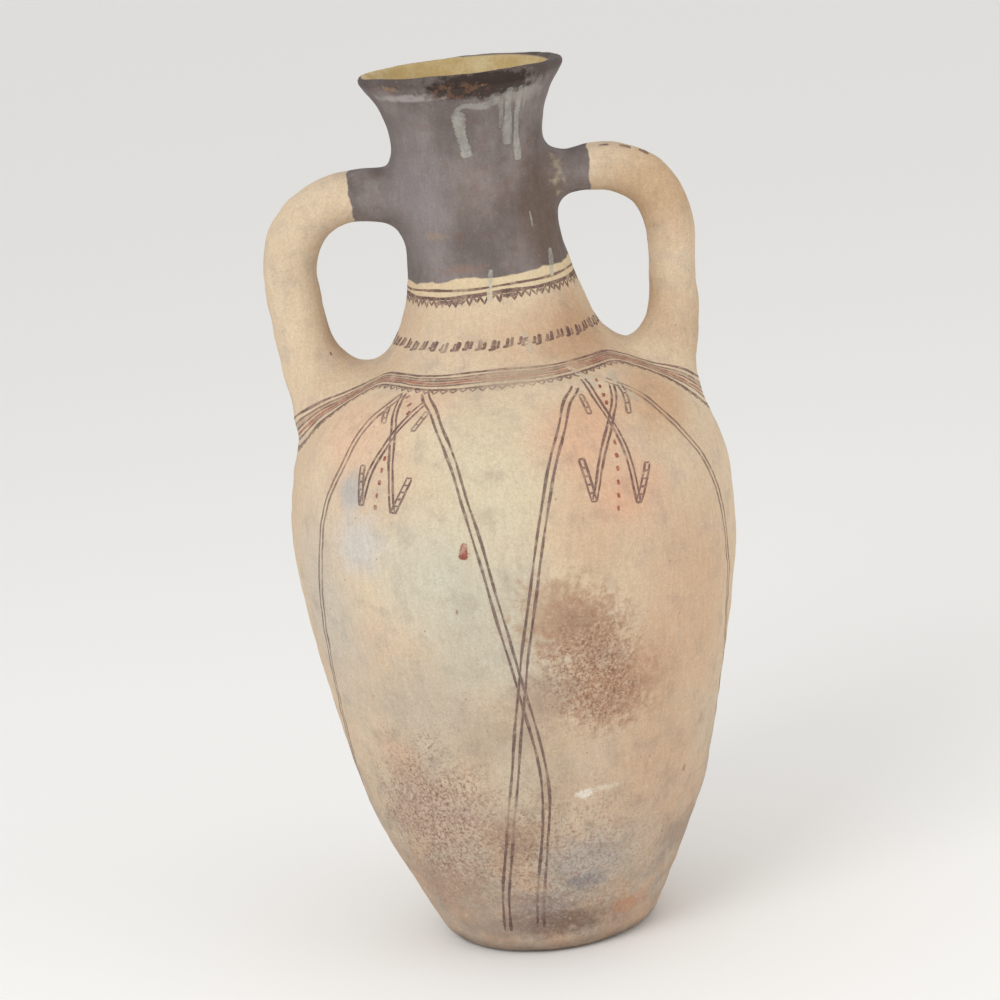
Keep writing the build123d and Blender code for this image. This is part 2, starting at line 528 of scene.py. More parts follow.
class Paint:
    """Strokes of one pigment, gathered into one mesh of thin closed slabs."""

    lift = 0.07 * MM
    sink = 0.35 * MM
    rows = (-1.0, -0.5, 0.0, 0.5, 1.0)
    per_row = len(rows) + 2

    def __init__(self, name, seed, clay):
        self.name = name
        self.clay = clay
        self.random = np.random.default_rng(seed)
        self.points, self.normals, self.faces = [], [], []
        self.across, self.load = [], []

    def stroke(self, centres, width, load=1.0, wander=0.12):
        """A brush stroke along places on the clay. Its width in mm swells and thins, its ends taper."""
        count = len(centres)
        phases = self.random.uniform(0, 2 * math.pi, 4)
        first = len(self.points)
        for index, (place, normal) in enumerate(centres):
            before = centres[max(index - 1, 0)][0]
            after = centres[min(index + 1, count - 1)][0]
            side = normal.cross(after - before).normalized()
            run = index * 1.1
            swell = 1 + 0.16 * math.sin(run / 3.1 + phases[0]) + 0.12 * math.sin(run / 7.7 + phases[1])
            drift = wander * (math.sin(run / 5.3 + phases[2]) + 0.7 * math.sin(run / 11.9 + phases[3]))
            end = min(index, count - 1 - index) + 0.6
            half = width * MM / 2 * swell * min(1.0, 0.45 + 0.3 * end)
            for row in self.rows:
                top, up = self.clay.near(place + side * (row * half + drift * MM))
                self.corner(top + up * self.lift, up, row, load)
            for row in (0, len(self.rows) - 1):
                edge = self.points[first + self.per_row * index + row]
                self.corner(edge - up * (self.lift + self.sink), up, self.rows[row], load)
        self.skin(first, count)

    def corner(self, point, normal, across, load):
        """One point of a slab, with how far across the stroke it lies and how loaded the brush is."""
        self.points.append(point)
        self.normals.append(normal)
        self.across.append(across)
        self.load.append(load)

    def skin(self, first, count):
        """Faces of one slab: top, two sides, underside and both ends."""
        ring = [0, 1, 2, 3, 4, 6, 5]
        for index in range(count - 1):
            here = first + self.per_row * index
            there = here + self.per_row
            for a, b in zip(ring, ring[1:] + ring[:1]):
                self.faces.append((here + a, there + a, there + b, here + b))
        last = first + self.per_row * (count - 1)
        self.faces.append(tuple(first + corner for corner in ring))
        self.faces.append(tuple(last + corner for corner in reversed(ring)))

    def line(self, stops, width, load=1.0, offset=0.0, corners=False, wander=0.12):
        """A stroke through (azimuth, height) stops, shifted sideways by offset mm."""
        if corners:
            legs = [np.linspace(a, b, 3, endpoint=False) for a, b in zip(stops, stops[1:])]
            path = [*np.concatenate(legs), np.array(stops[-1], float)]
        else:
            path = smooth_path(stops, 0.9)
        places = [self.clay.at(*stop) for stop in path]
        if offset:
            moved = []
            for index, (place, normal) in enumerate(places):
                along = places[min(index + 1, len(places) - 1)][0] - places[max(index - 1, 0)][0]
                moved.append(self.clay.near(place + normal.cross(along).normalized() * offset * MM))
            places = moved
        self.stroke(evened(places, 1.1 * MM) if not corners else places, width, load, wander)

    def spot(self, azimuth, height, width, length, lean=90.0, load=1.0):
        """A short dab, leaning by an angle from level."""
        place, normal = self.clay.at(azimuth, height)
        level = Vector((0, 0, 1)).cross(normal).normalized()
        turn = math.radians(lean)
        along = level * math.cos(turn) + normal.cross(level) * math.sin(turn)
        shares = np.linspace(-0.5, 0.5, max(4, int(length / 0.8)))
        places = [self.clay.near(place + along * share * length * MM) for share in shares]
        self.stroke(places, width, load, 0.0)

    def finish(self, material):
        """Makes the piece."""
        mesh = bpy.data.meshes.new(self.name)
        mesh.from_pydata([tuple(point) for point in self.points], [], self.faces)
        mesh.shade_smooth()
        for label, values in (("across", self.across), ("load", self.load)):
            mesh.attributes.new(label, "FLOAT", "POINT").data.foreach_set("value", values)
        mesh.normals_split_custom_set_from_vertices([tuple(normal) for normal in self.normals])
        mesh.materials.append(material)
        return add_object(self.name, mesh)


def evened(places, spacing):
    """Thins a list of places so that neighbours stand at least the spacing apart."""
    kept = [places[0]]
    for place in places[1:-1]:
        if (place[0] - kept[-1][0]).length >= spacing:
            kept.append(place)
    return [*kept, places[-1]]


# Heights in mm of the two lines below the slip and of the row of dabs
NECK_LINE = 397.2
TEETH_LINE = 393.2
DABS_LINE = 366.2
# Degrees from one side of a tooth to the other, and the number of dabs round the neck
TOOTH_STEP = 2.5
DABS = 94
# Places where brushed teeth run together: azimuth, length and width in mm
TEETH_BLOTS = [(-33, 8, 2.6), (-24, 7, 3.0), (-19, 5, 2.6), (14, 8, 2.8), (38, 6, 2.4)]
# Runs of lime: stops, width in mm, strength
DRIPS = [
    ([(-6, 498), (-7.5, 492), (-7.5, 484), (-6, 477), (-5.5, 471.5)], 7.4, 0.8),
    ([(-9, 497), (-3, 500.5), (5, 500), (13, 500.5), (20, 503), (27, 507)], 4.6, 0.5),
    ([(21, 505), (22.5, 499), (23, 492), (22.5, 486)], 4.2, 0.4),
    ([(27, 509), (28.5, 500), (29.5, 491), (28.5, 483), (28, 476)], 6.4, 0.65),
    ([(35, 509), (36, 499), (36.5, 487), (36.5, 476), (37, 466)], 4.6, 0.75),
    ([(41, 508), (41.5, 502), (41.5, 496)], 3.6, 0.4),
    ([(4.4, 407), (3.6, 402), (2.6, 396), (2, 389)], 3.2, 0.75),
    ([(54.5, 413), (51.5, 405), (48.5, 397.5)], 3.8, 0.75),
    ([(42, 436), (42.5, 432), (42.5, 427)], 2.2, 0.7),
    ([(-12, 392.5), (-10, 390), (-9, 388)], 3.4, 0.45),
    ([(19, 371), (19.5, 365), (19.5, 359)], 4.0, 0.5),
    ([(46.5, 343), (45.5, 336), (46, 328)], 5.0, 0.6),
    ([(33, 350), (35.5, 344), (36, 338)], 3.4, 0.45),
]


def paint_teeth(dark):
    """The two lines below the slip, the lower with a zigzag of small teeth hanging from it."""
    full_turn = np.arange(-180, 181, 12)
    tilt = 1.4 * np.sin(np.radians(full_turn))
    upper = NECK_LINE + tilt + 0.4 * np.sin(full_turn * 0.11)
    lower = TEETH_LINE + tilt + 0.5 * np.sin(full_turn * 0.07 + 1)
    dark.line(list(zip(full_turn, upper)), 1.7, 0.95)
    dark.line(list(zip(full_turn, lower)), 2.7, 1.0)
    teeth = []
    for index in range(int(360 / TOOTH_STEP) + 1):
        azimuth = -180 + index * TOOTH_STEP
        depth = 4.3 + 0.9 * math.sin(index * 1.7) if index % 2 else 0.8
        height = float(np.interp(azimuth, full_turn, lower)) - depth
        teeth.append((azimuth + 0.5 * math.sin(index * 2.3), height))
    dark.line(teeth, 1.6, 1.0, corners=True, wander=0.05)
    for azimuth, length, width in TEETH_BLOTS:
        dark.spot(azimuth, float(np.interp(azimuth, full_turn, lower)) - 2.2, width, length, 0)


def paint_dabs(dark):
    """The row of two-stroke dabs round the root of the neck."""
    for index in range(DABS):
        azimuth = -180 + 360 * index / DABS + 0.7 * math.sin(index * 3.1)
        height = DABS_LINE + 0.5 * math.sin(index * 0.9)
        size = 1 + 0.22 * math.sin(index * 2.7)
        load = 0.95 if index % 5 else 0.7
        dark.spot(azimuth, height, 2.8 * size, 5.0 * size, 75, load)
        dark.spot(azimuth - 1.1 * size, height - 1.8 * size, 2.2, 3.4 * size, 10, load)


def paint_drips(lime):
    """Lime that has run down the neck and over the band."""
    for stops, width, load in DRIPS:
        lime.line(stops, width, load, wander=0.5)


# Upper and lower edge of the shoulder band over a quarter turn, from the front to the handle
BAND_TOP = [
    (0, 353.4), (25, 352.2), (48, 352.0), (62, 351.2), (69, 347), (74, 340), (80, 332), (86, 326), (90, 324),
]
BAND_FOOT = [
    (0, 345.6), (25, 345.4), (48, 346.4), (59, 345.0), (65, 338), (70, 329), (76, 317), (83, 308), (90, 305),
]
# Lines of the band: share of the way down it, width in mm, strength
DARK_BAND = [(0.0, 1.8, 0.9), (0.2, 1.4, 0.8), (0.36, 1.5, 0.85), (0.64, 1.5, 0.85), (0.88, 1.9, 0.95)]
RED_BAND = [(0.5, 2.1, 0.8), (0.28, 1.1, 0.5)]


def band_line(share):
    """A line right round the shoulder, at a share of the way from the band's top to its foot."""
    quarter = [tuple(stop) for stop in np.array(BAND_TOP) * (1 - share) + np.array(BAND_FOOT) * share]
    front = [(-a, z) for a, z in reversed(quarter[1:])] + quarter
    back = [(180 - a, z) for a, z in reversed(quarter[:-1])]
    back_left = [(-180 + a, z) for a, z in quarter[1:-1]]
    return [(-180, quarter[0][1])] + back_left + front + back


def paint_shoulder_band(dark, red):
    """Lines round the shoulder that sag below each handle foot, with scallops on the lowest."""
    for brush, lines in ((dark, DARK_BAND), (red, RED_BAND)):
        for share, width, load in lines:
            brush.line(band_line(share), width, load)
    edge = smooth_path(band_line(0.95), 2.0)
    scallops = [(a, z - (1.1 if index % 2 else -0.5)) for index, (a, z) in enumerate(edge)]
    dark.line(scallops, 1.35, 0.85, corners=True, wander=0.05)


def ladder(dark, start, end, gap, rungs, load=0.9):
    """Two short lines joined by rungs."""
    for offset in (-gap / 2, gap / 2):
        dark.line([start, end], 1.65, load, offset)
    for share in np.linspace(0.0, 1.0, rungs):
        azimuth, height = (s + (e - s) * share for s, e in zip(start, end))
        dark.spot(azimuth, height, 1.5, gap, 0, load)


def double_line(dark, stops, gap, width, load):
    """A pair of brush lines that run side by side."""
    for offset in (-gap / 2, gap / 2):
        dark.line(stops, width, load, offset)


# Motifs: crossed arms, hooked ladders at their ends, small marks, and the long lines on both sides
LEFT_MOTIF = {
    "arms": [
        [(-39, 344.5), (-36.5, 334), (-34.3, 326), (-32.5, 309), (-31, 286)],
        [(-27, 341), (-30.5, 335), (-34.3, 326), (-38.8, 308), (-40.8, 289.5)],
    ],
    "hooks": [((-41, 289.5), (-41.8, 310.5)), ((-30.8, 286), (-26.5, 304.5))],
    "ladders": [((-24.6, 337), (-27.6, 328.5)), ((-41.8, 338.5), (-39.8, 331.5))],
    "dashes": [(-36, 343.2), (-33, 340), (-31.6, 336.5)],
    "dots": [(-35, 314.5), (-35.2, 308.5), (-35.5, 302), (-36, 295), (-36.4, 288.5)],
    "inner": [
        (-29, 345), (-21.5, 335), (-15, 315), (-11, 288), (-8.3, 262), (-5.2, 220), (-1.6, 174), (1.3, 135),
        (1.7, 109), (-0.5, 76), (-4, 42), (-6, 20),
    ],
    "outer": [
        (-39, 344.5), (-46, 331), (-50, 308.5), (-54.5, 290), (-58.5, 257), (-62.5, 228), (-66.5, 195),
        (-72, 150), (-78, 110), (-85, 78),
    ],
}
RIGHT_MOTIF = {
    "arms": [
        [(33.8, 343.5), (32.6, 332), (32.9, 322.5), (33.6, 303.5), (33.3, 277.5)],
        [(42.5, 338.5), (36.8, 329.5), (32.9, 322.5), (26.3, 306.5), (21.6, 283.5)],
    ],
    "hooks": [((21.4, 283), (20.3, 306.5)), ((33.4, 277.5), (39.2, 297))],
    "ladders": [((28.4, 337), (27.4, 328)), ((45.4, 338), (40, 324))],
    "dashes": [(38.4, 341.8), (37.4, 338.8), (36, 334.8), (35, 331.2)],
    "dots": [(31.2, 311.5), (30.4, 304.8), (29.6, 298), (28.8, 290.8), (28.1, 283.8), (27.4, 276.8)],
    "inner": [
        (28.5, 341), (20.6, 332), (13.5, 311), (8.8, 285), (5.5, 257), (0.2, 204), (-2.4, 174), (-7, 124),
        (-12.4, 78), (-18.5, 40), (-22, 18),
    ],
    "outer": [
        (42, 341), (48.6, 332), (54, 315), (60.5, 292), (65, 267), (70, 223), (74.5, 184), (79.5, 148),
        (85, 110), (91, 76),
    ],
}


def turned(stops, turn):
    """Stops moved round the vessel."""
    return [(azimuth + turn, height) for azimuth, height in stops]


def paint_motif(dark, red, motif, turn):
    """One crossed motif below the band, with the long lines that leave it on both sides."""
    for arm in motif["arms"]:
        double_line(dark, turned(arm, turn), 2.7, 1.7, 0.95)
    for hook in motif["hooks"]:
        ladder(dark, *turned(hook, turn), 3.1, 6)
    for rail in motif["ladders"]:
        ladder(dark, *turned(rail, turn), 2.7, 4, 0.8)
    for azimuth, height in turned(motif["dashes"], turn):
        red.spot(azimuth, height, 2.5, 3.2, 60)
    for azimuth, height in turned(motif["dots"], turn):
        red.spot(azimuth, height, 2.5, 2.8, 90)
    double_line(dark, turned(motif["inner"], turn), 3.8, 1.85, 0.9)
    double_line(dark, turned(motif["outer"], turn), 3.3, 1.7, 0.8)


def paint_accidents(dark, red):
    """Dabs on the right handle, a red mark on the left one, and marks on the belly."""
    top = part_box("right_handle")[1].z + 3 * MM
    toward_viewer = -8 * MM
    for reach, length, width in ((73, 7, 2.2), (86, 9, 4.6), (101, 9, 4.2)):
        along = [(reach + step) * MM for step in np.arange(0, length, 0.9)]
        dark.stroke([dark.clay.near(Vector((x, toward_viewer, top))) for x in along], width, 0.9, 0.0)
    heights = [(362 + step) * MM for step in np.arange(-1.2, 1.3, 0.8)]
    red.stroke([red.clay.near(Vector((-95 * MM, -12 * MM, z))) for z in heights], 1.8, 0.9, 0.0)
    red.spot(-12.5, 264, 5.2, 9.5, 78, 1.0)
    red.spot(-16, 229, 1.8, 2.4, 90, 0.6)
    red.spot(53, 106, 3.2, 4.0, 70, 0.5)


# ---------------------------------------------------------------- materials


def srgb(red, green, blue):
    """A display colour, 0 to 255, as the linear colour that a shader takes."""
    parts = [value / 255 for value in (red, green, blue)]
    linear = [part / 12.92 if part <= 0.04045 else ((part + 0.055) / 1.055) ** 2.4 for part in parts]
    return (*linear, 1.0)


class Graph:
    """Shorthand for building a node tree. Sizes are in mm, and coordinates are the vessel's own."""

    def __init__(self, tree):
        self.tree = tree
        self.place = self.node("ShaderNodeTexCoord").outputs["Object"]

    def node(self, kind, inputs=(), **settings):
        made = self.tree.nodes.new(kind)
        for key, value in settings.items():
            setattr(made, key, value)
        for key, value in dict(inputs).items():
            self.feed(made.inputs[key], value)
        return made

    def feed(self, socket, value):
        if isinstance(value, bpy.types.NodeSocket):
            self.tree.links.new(value, socket)
        else:
            socket.default_value = value

    def math(self, operation, a, b=0.0, clamp=False):
        return self.node("ShaderNodeMath", {0: a, 1: b}, operation=operation, use_clamp=clamp).outputs[0]

    def plus(self, a, b):
        return self.math("ADD", a, b)

    def minus(self, a, b):
        return self.math("SUBTRACT", a, b)

    def times(self, a, b, clamp=False):
        return self.math("MULTIPLY", a, b, clamp)

    def ease(self, value, low, high):
        inputs = {"Value": value, "From Min": low, "From Max": high}
        return self.node("ShaderNodeMapRange", inputs, interpolation_type="SMOOTHSTEP").outputs["Result"]

    def mix(self, share, a, b):
        return self.node("ShaderNodeMix", {0: share, 6: a, 7: b}, data_type="RGBA").outputs[2]

    def multiply(self, share, a, b):
        node = self.node("ShaderNodeMix", {0: share, 6: a, 7: b}, data_type="RGBA", blend_type="MULTIPLY")
        return node.outputs[2]

    def tint(self, base, share, colour):
        return self.mix(share, base, srgb(*colour))

    def noise(self, size, detail=3.0, roughness=0.55, stretch=(1, 1, 1), seed=0.0):
        """Fractal noise, about 0 to 1, with features of a size in mm stretched along each axis."""
        scale = [1 / (size * MM * along) for along in stretch]
        offset = {"Vector": self.place, "Scale": scale, "Location": (seed * 3.7, seed * 1.9, seed * 2.3)}
        spot = self.node("ShaderNodeMapping", offset).outputs[0]
        inputs = {"Vector": spot, "Scale": 1.0, "Detail": detail, "Roughness": roughness}
        return self.node("ShaderNodeTexNoise", inputs).outputs[0]

    def blob(self, centre, shape, ragged=0.35, grain=9.0, soft=0.6):
        """A ragged soft-edged patch about a centre, 1 in its middle. Shape is its half size in mm."""
        away = self.node("ShaderNodeVectorMath", {0: self.place, 1: centre}, operation="SUBTRACT").outputs[0]
        scale = [1 / (half * MM) for half in shape]
        scaled = self.node("ShaderNodeVectorMath", {0: away, 1: scale}, operation="MULTIPLY").outputs[0]
        length = self.node("ShaderNodeVectorMath", {0: scaled}, operation="LENGTH").outputs["Value"]
        seed = (centre[0] + centre[2]) / (30 * MM)
        wobble = self.minus(self.noise(grain, 5.0, 0.65, seed=seed), 0.5)
        uneven = self.plus(length, self.times(wobble, ragged * 4))
        return self.ease(uneven, 1.0, 1.0 - soft)

    def patch(self, azimuth, height, wide, tall, ragged=0.35, grain=9.0, soft=0.6):
        """A patch on the outside of the wall."""
        radius = float(np.interp(height * MM, PROFILE_Z, OUTER_R))
        return self.blob(around(azimuth, radius, height * MM), (wide, wide * 1.3, tall), ragged, grain, soft)


# Stains and blushes of the clay: azimuth, height, half width and half height in mm, colour,
# strength, raggedness, grain in mm, softness of the edge
PATCHES = [
    (-6, 300, 52, 75, (214, 205, 178), 0.7, 0.12, 30, 0.8),
    (-9, 215, 58, 80, (198, 194, 178), 0.75, 0.15, 26, 0.85),
    (-24, 252, 48, 50, (206, 204, 188), 0.65, 0.12, 30, 0.8),
    (20, 270, 34, 60, (210, 180, 150), 0.65, 0.12, 30, 0.8),
    (-50, 326, 44, 34, (228, 190, 163), 0.65, 0.15, 25, 0.8),
    (-30, 340, 30, 12, (226, 188, 160), 0.5, 0.15, 18, 0.8),
    (32, 284, 36, 26, (224, 176, 148), 0.7, 0.15, 22, 0.85),
    (30, 330, 30, 16, (216, 178, 146), 0.6, 0.15, 22, 0.8),
    (55, 325, 40, 34, (202, 164, 130), 0.75, 0.15, 26, 0.8),
    (22, 316, 46, 28, (220, 172, 142), 0.55, 0.15, 26, 0.8),
    (4, 128, 30, 46, (178, 158, 136), 0.5, 0.2, 18, 0.8),
    (48, 364, 42, 38, (194, 158, 127), 0.85, 0.15, 22, 0.8),
    (8, 366, 30, 24, (208, 178, 148), 0.5, 0.15, 22, 0.8),
    (-30, 168, 56, 52, (194, 184, 168), 0.65, 0.15, 24, 0.8),
    (-12, 148, 36, 34, (184, 166, 146), 0.6, 0.3, 10, 0.8),
    (50, 215, 58, 90, (212, 176, 146), 0.6, 0.15, 35, 0.8),
    (-60, 220, 42, 90, (199, 194, 185), 0.6, 0.12, 35, 0.8),
    (-45, 296, 13, 17, (184, 183, 182), 0.85, 0.2, 9, 0.8),
    (-42, 268, 26, 28, (208, 207, 205), 0.7, 0.2, 12, 0.8),
    (-44, 136, 24, 26, (210, 174, 150), 0.5, 0.3, 12, 0.8),
    (-36, 104, 50, 44, (176, 152, 138), 0.65, 0.45, 7, 0.8),
    (-44, 52, 40, 34, (170, 146, 130), 0.65, 0.45, 7, 0.8),
    (38, 116, 60, 70, (206, 174, 146), 0.6, 0.2, 30, 0.8),
    (-6, 128, 22, 26, (204, 192, 172), 0.6, 0.25, 14, 0.8),
    (26, 70, 52, 30, (198, 180, 162), 0.7, 0.25, 12, 0.8),
    (6, 176, 22, 26, (168, 148, 132), 0.7, 0.4, 6, 0.75),
    (9, 222, 36, 34, (182, 150, 124), 0.75, 0.45, 5, 0.75),
    (16, 208, 36, 34, (174, 138, 114), 0.8, 0.45, 5, 0.75),
    (1, 168, 26, 24, (184, 162, 142), 0.7, 0.4, 6, 0.75),
    (-9, 84, 26, 22, (166, 138, 118), 0.7, 0.45, 6, 0.75),
    (23, 172, 38, 34, (172, 134, 110), 0.85, 0.45, 5, 0.75),
    (36, 180, 26, 34, (196, 158, 130), 0.5, 0.45, 8, 0.8),
    (14, 64, 37, 27, (178, 172, 167), 0.75, 0.3, 7, 0.8),
    (14, 50, 18, 9, (138, 138, 142), 0.75, 0.45, 5, 0.85),
    (-4, 36, 26, 16, (172, 166, 162), 0.75, 0.3, 6, 0.8),
    (3, 22, 44, 14, (122, 100, 88), 0.85, 0.35, 6, 0.8),
    (-26, 20, 36, 12, (158, 140, 130), 0.6, 0.35, 8, 0.8),
    (-6, 32, 32, 20, (144, 126, 118), 0.55, 0.4, 6, 0.8),
    (36, 25, 18, 9, (192, 144, 116), 0.75, 0.35, 5, 0.8),
    (62, 60, 30, 20, (150, 132, 120), 0.5, 0.35, 12, 0.8),
    (14, 109, 7, 5, (240, 232, 218), 0.95, 0.5, 4, 0.75),
    (20, 111, 14, 2.6, (226, 214, 198), 0.7, 0.5, 4, 0.8),
    (8, 350, 27, 6, (190, 170, 148), 0.7, 0.4, 6, 0.7),
    (130, 230, 60, 80, (206, 170, 140), 0.6, 0.2, 30, 0.8),
    (-150, 150, 60, 70, (170, 140, 118), 0.6, 0.45, 8, 0.8),
    (175, 290, 60, 60, (218, 208, 184), 0.6, 0.15, 30, 0.8),
    (-120, 280, 46, 50, (224, 188, 160), 0.6, 0.15, 25, 0.8),
    (150, 60, 50, 34, (150, 130, 116), 0.6, 0.35, 9, 0.8),
]
# Tints of the handles, mostly painted shade (browner inside each foot and over the right handle, the side
# away from the key light; a little cooler on the left handle): (x, height) of the middle, half width and half
# height in mm, colour, strength
GRIP_TINTS_AND_SHADE = [
    (-104, 420, 44, 60, (214, 196, 170), 0.5),
    (-92, 372, 14, 26, (196, 164, 136), 0.6),
    (100, 440, 50, 44, (194, 162, 127), 0.8),
    (92, 372, 14, 22, (190, 158, 132), 0.6),
    (110, 356, 32, 44, (194, 162, 129), 0.65),
]
# Where grit is thick: azimuth, height, half width and half height in mm, grain in mm, strength
GRITTY = [(-36, 95, 62, 78, 20, 1.0), (18, 185, 42, 52, 14, 1.0), (2, 66, 80, 74, 20, 0.6)]
# Cool, warm and chalky patches of the slip, and its scuffs and a pale pool, as in PATCHES
SLIP_STAINS = [
    (-50, 450, 32, 70, (149, 143, 145), 0.6, 0.2, 18, 0.9),
    (54, 432, 32, 62, (104, 85, 74), 0.7, 0.2, 18, 0.9),
    (-2, 452, 20, 30, (158, 142, 134), 0.3, 0.3, 10, 0.8),
    (-38, 508, 30, 3.2, (176, 172, 172), 0.7, 0.35, 8, 0.6),
    (38, 505, 24, 9, (166, 162, 156), 0.65, 0.4, 7, 0.8),
]
SCUFFS = [
    (-35, 428, 9, 4, (166, 144, 124), 0.45, 0.5, 4, 0.7),
    (-16, 408, 20, 4, (146, 118, 104), 0.5, 0.5, 5, 0.8),
    (83, 452, 11, 13, (186, 178, 150), 0.8, 0.35, 7, 0.5),
]
# Worn clay on the lip: azimuth, height, half sizes in mm, colour, strength, grain in mm, seed, edges
LIP_WEAR = [
    (-6, 510, 24, 6.5, (112, 84, 68), 0.8, 5, 11, (0.5, 0.56)),
    (-48, 514, 14, 3, (150, 124, 102), 0.7, 4, 12, (0.48, 0.55)),
]
# Where rubbing has thinned the paint: azimuth, height, half width and half height in mm
WORN = [
    (8, 349, 31, 8), (50, 333, 9, 8), (-8, 95, 16, 24), (-3, 42, 9, 34), (36, 350, 12, 4),
    (-172, 349, 30, 7), (150, 120, 30, 40),
]


# Height of the slip's lower edge, and how far it reaches along each handle
SLIP_LINE = 402.4 * MM
SLIP_RIGHT = 66 * MM
SLIP_LEFT = 72.5 * MM
# Middle of the wall in the mouth: its radius in the neck, and the foot, height and width of its flare
NECK_MIDDLE = 40 * MM
FLARE_FOOT = 470 * MM
FLARE_HEIGHT = 50 * MM
FLARE_WIDTH = 17.4 * MM


class FiredClay(Graph):
    """The clay of the vessel with its stains, the dark slip of the neck and the ochre of the mouth."""

    def __init__(self, tree):
        super().__init__(tree)
        self.x, self.y, self.z = self.node("ShaderNodeSeparateXYZ", {0: self.place}).outputs
        self.radius = self.math("SQRT", self.plus(self.times(self.x, self.x), self.times(self.y, self.y)))
        self.fine = self.noise(1.1, 5.0, 0.7)
        self.brushed = self.noise(2.6, 4.0, 0.7, (1, 1, 5), 2)
        self.level = self.noise(3.0, 4.0, 0.7, (5, 5, 1), 5)
        self.mottle = self.noise(14, 5.0, 0.6, seed=3)

    def stained(self, colour, patches):
        """A colour with patches of others laid over it."""
        for azimuth, height, wide, tall, patch_colour, strength, ragged, grain, soft in patches:
            share = self.patch(azimuth, height, wide, tall, ragged, grain, soft)
            colour = self.tint(colour, self.times(share, strength), patch_colour)
        return colour

    def bare(self):
        """Bare clay, from cream to buff, browner towards the foot and creamier below the slip, with painted
        shade on the handles.
        """
        broad = self.noise(75, 3.0, 0.5, seed=4)
        colour = self.mix(self.ease(broad, 0.35, 0.65), srgb(222, 203, 176), srgb(215, 191, 164))
        colour = self.tint(colour, self.ease(self.mottle, 0.42, 0.78), (226, 208, 184))
        low_down = self.plus(self.ease(self.z, 210 * MM, 20 * MM), self.minus(self.mottle, 0.5))
        earthy = self.ease(self.noise(26, 5.0, 0.65, seed=16), 0.4, 0.6)
        earth = self.mix(earthy, srgb(182, 152, 133), srgb(166, 154, 145))
        colour = self.mix(self.times(low_down, 0.68, True), colour, earth)
        colour = self.stained(colour, PATCHES)
        # painted shade: browner inside each handle's foot and over the right handle, with a cooler tint on
        # the left handle
        for x_mm, height, wide, tall, patch_colour, strength in GRIP_TINTS_AND_SHADE:
            share = self.blob((x_mm * MM, 0, height * MM), (wide, wide, tall), 0.2, 18, 0.8)
            colour = self.tint(colour, self.times(share, strength), patch_colour)
        colour = self.gritty(colour)
        edge = self.plus(self.ease(self.z, 13 * MM, 2 * MM), self.times(self.minus(self.mottle, 0.5), 2.0))
        colour = self.tint(colour, self.times(edge, 0.6, True), (128, 112, 100))
        collar = self.times(self.ease(self.z, 388 * MM, 394 * MM), self.ease(self.radius, 64 * MM, 58 * MM))
        return self.tint(colour, self.times(collar, 0.55), (226, 208, 170))

    def gritty(self, colour):
        """Adds specks of grit and soot, a few larger dots and pale flecks."""
        thick = 0.0
        for azimuth, height, wide, tall, grain, strength in GRITTY:
            share = self.times(self.patch(azimuth, height, wide, tall, 0.3, grain, 0.8), strength)
            thick = self.math("MAXIMUM", thick, share)
        thick = self.plus(self.times(thick, 0.8), 0.08)
        specks = self.ease(self.noise(3.4, 4.0, 0.75, (1, 1, 1.5), 6), 0.56, 0.66)
        colour = self.tint(colour, self.times(specks, thick), (136, 104, 86))
        grit = self.noise(1.9, 4.0, 0.8, seed=18)
        dark_grit = self.times(self.ease(grit, 0.50, 0.60), self.times(thick, 0.95))
        colour = self.tint(colour, dark_grit, (134, 100, 80))
        pale_grit = self.times(self.ease(grit, 0.48, 0.38), self.times(thick, 0.6))
        colour = self.tint(colour, pale_grit, (216, 202, 182))
        cells = self.node("ShaderNodeTexVoronoi", {"Vector": self.place, "Scale": 1 / (8 * MM)})
        sparse = self.ease(self.noise(30, 3.0, 0.6, seed=17), 0.46, 0.6)
        dots = self.times(self.ease(cells.outputs["Distance"], 0.095, 0.05), self.times(sparse, 0.6))
        colour = self.tint(colour, dots, (140, 106, 84))
        flecks = self.ease(self.noise(5.2, 4.0, 0.7, seed=7), 0.60, 0.70)
        return self.tint(colour, self.times(flecks, 0.35), (231, 214, 190))

    def slip(self):
        """The dark slip: cloudy grey and brown, nearly black and chipped at the lip, rubbed all over."""
        cloud = self.noise(24, 5.0, 0.62, (1, 1, 1.4), 9)
        colour = self.mix(self.ease(cloud, 0.35, 0.7), srgb(110, 101, 99), srgb(139, 130, 129))
        brown = self.ease(self.noise(9, 4.0, 0.6, seed=10), 0.52, 0.72)
        colour = self.tint(colour, self.times(brown, 0.45), (118, 92, 78))
        colour = self.tint(colour, self.times(self.ease(self.level, 0.55, 0.75), 0.25), (150, 126, 112))
        colour = self.stained(colour, SLIP_STAINS)
        crest = self.times(self.ease(self.z, 511 * MM, 516 * MM), 0.6)
        lip = self.plus(self.patch(8, 512, 42, 9, 0.35, 6, 0.5), crest)
        colour = self.tint(colour, self.times(lip, 0.9, True), (58, 46, 42))
        for azimuth, height, wide, tall, chip, strength, grain, seed, edges in LIP_WEAR:
            broken = self.ease(self.noise(grain, 4.0, 0.7, seed=seed), *edges)
            share = self.times(self.patch(azimuth, height, wide, tall, 0.3, 8, 0.5), broken)
            colour = self.tint(colour, self.times(share, strength), chip)
        rubbed = self.ease(self.noise(2.2, 5.0, 0.75, seed=13), 0.62, 0.70)
        colour = self.tint(colour, self.times(rubbed, 0.5), (196, 172, 148))
        return self.stained(colour, SCUFFS)

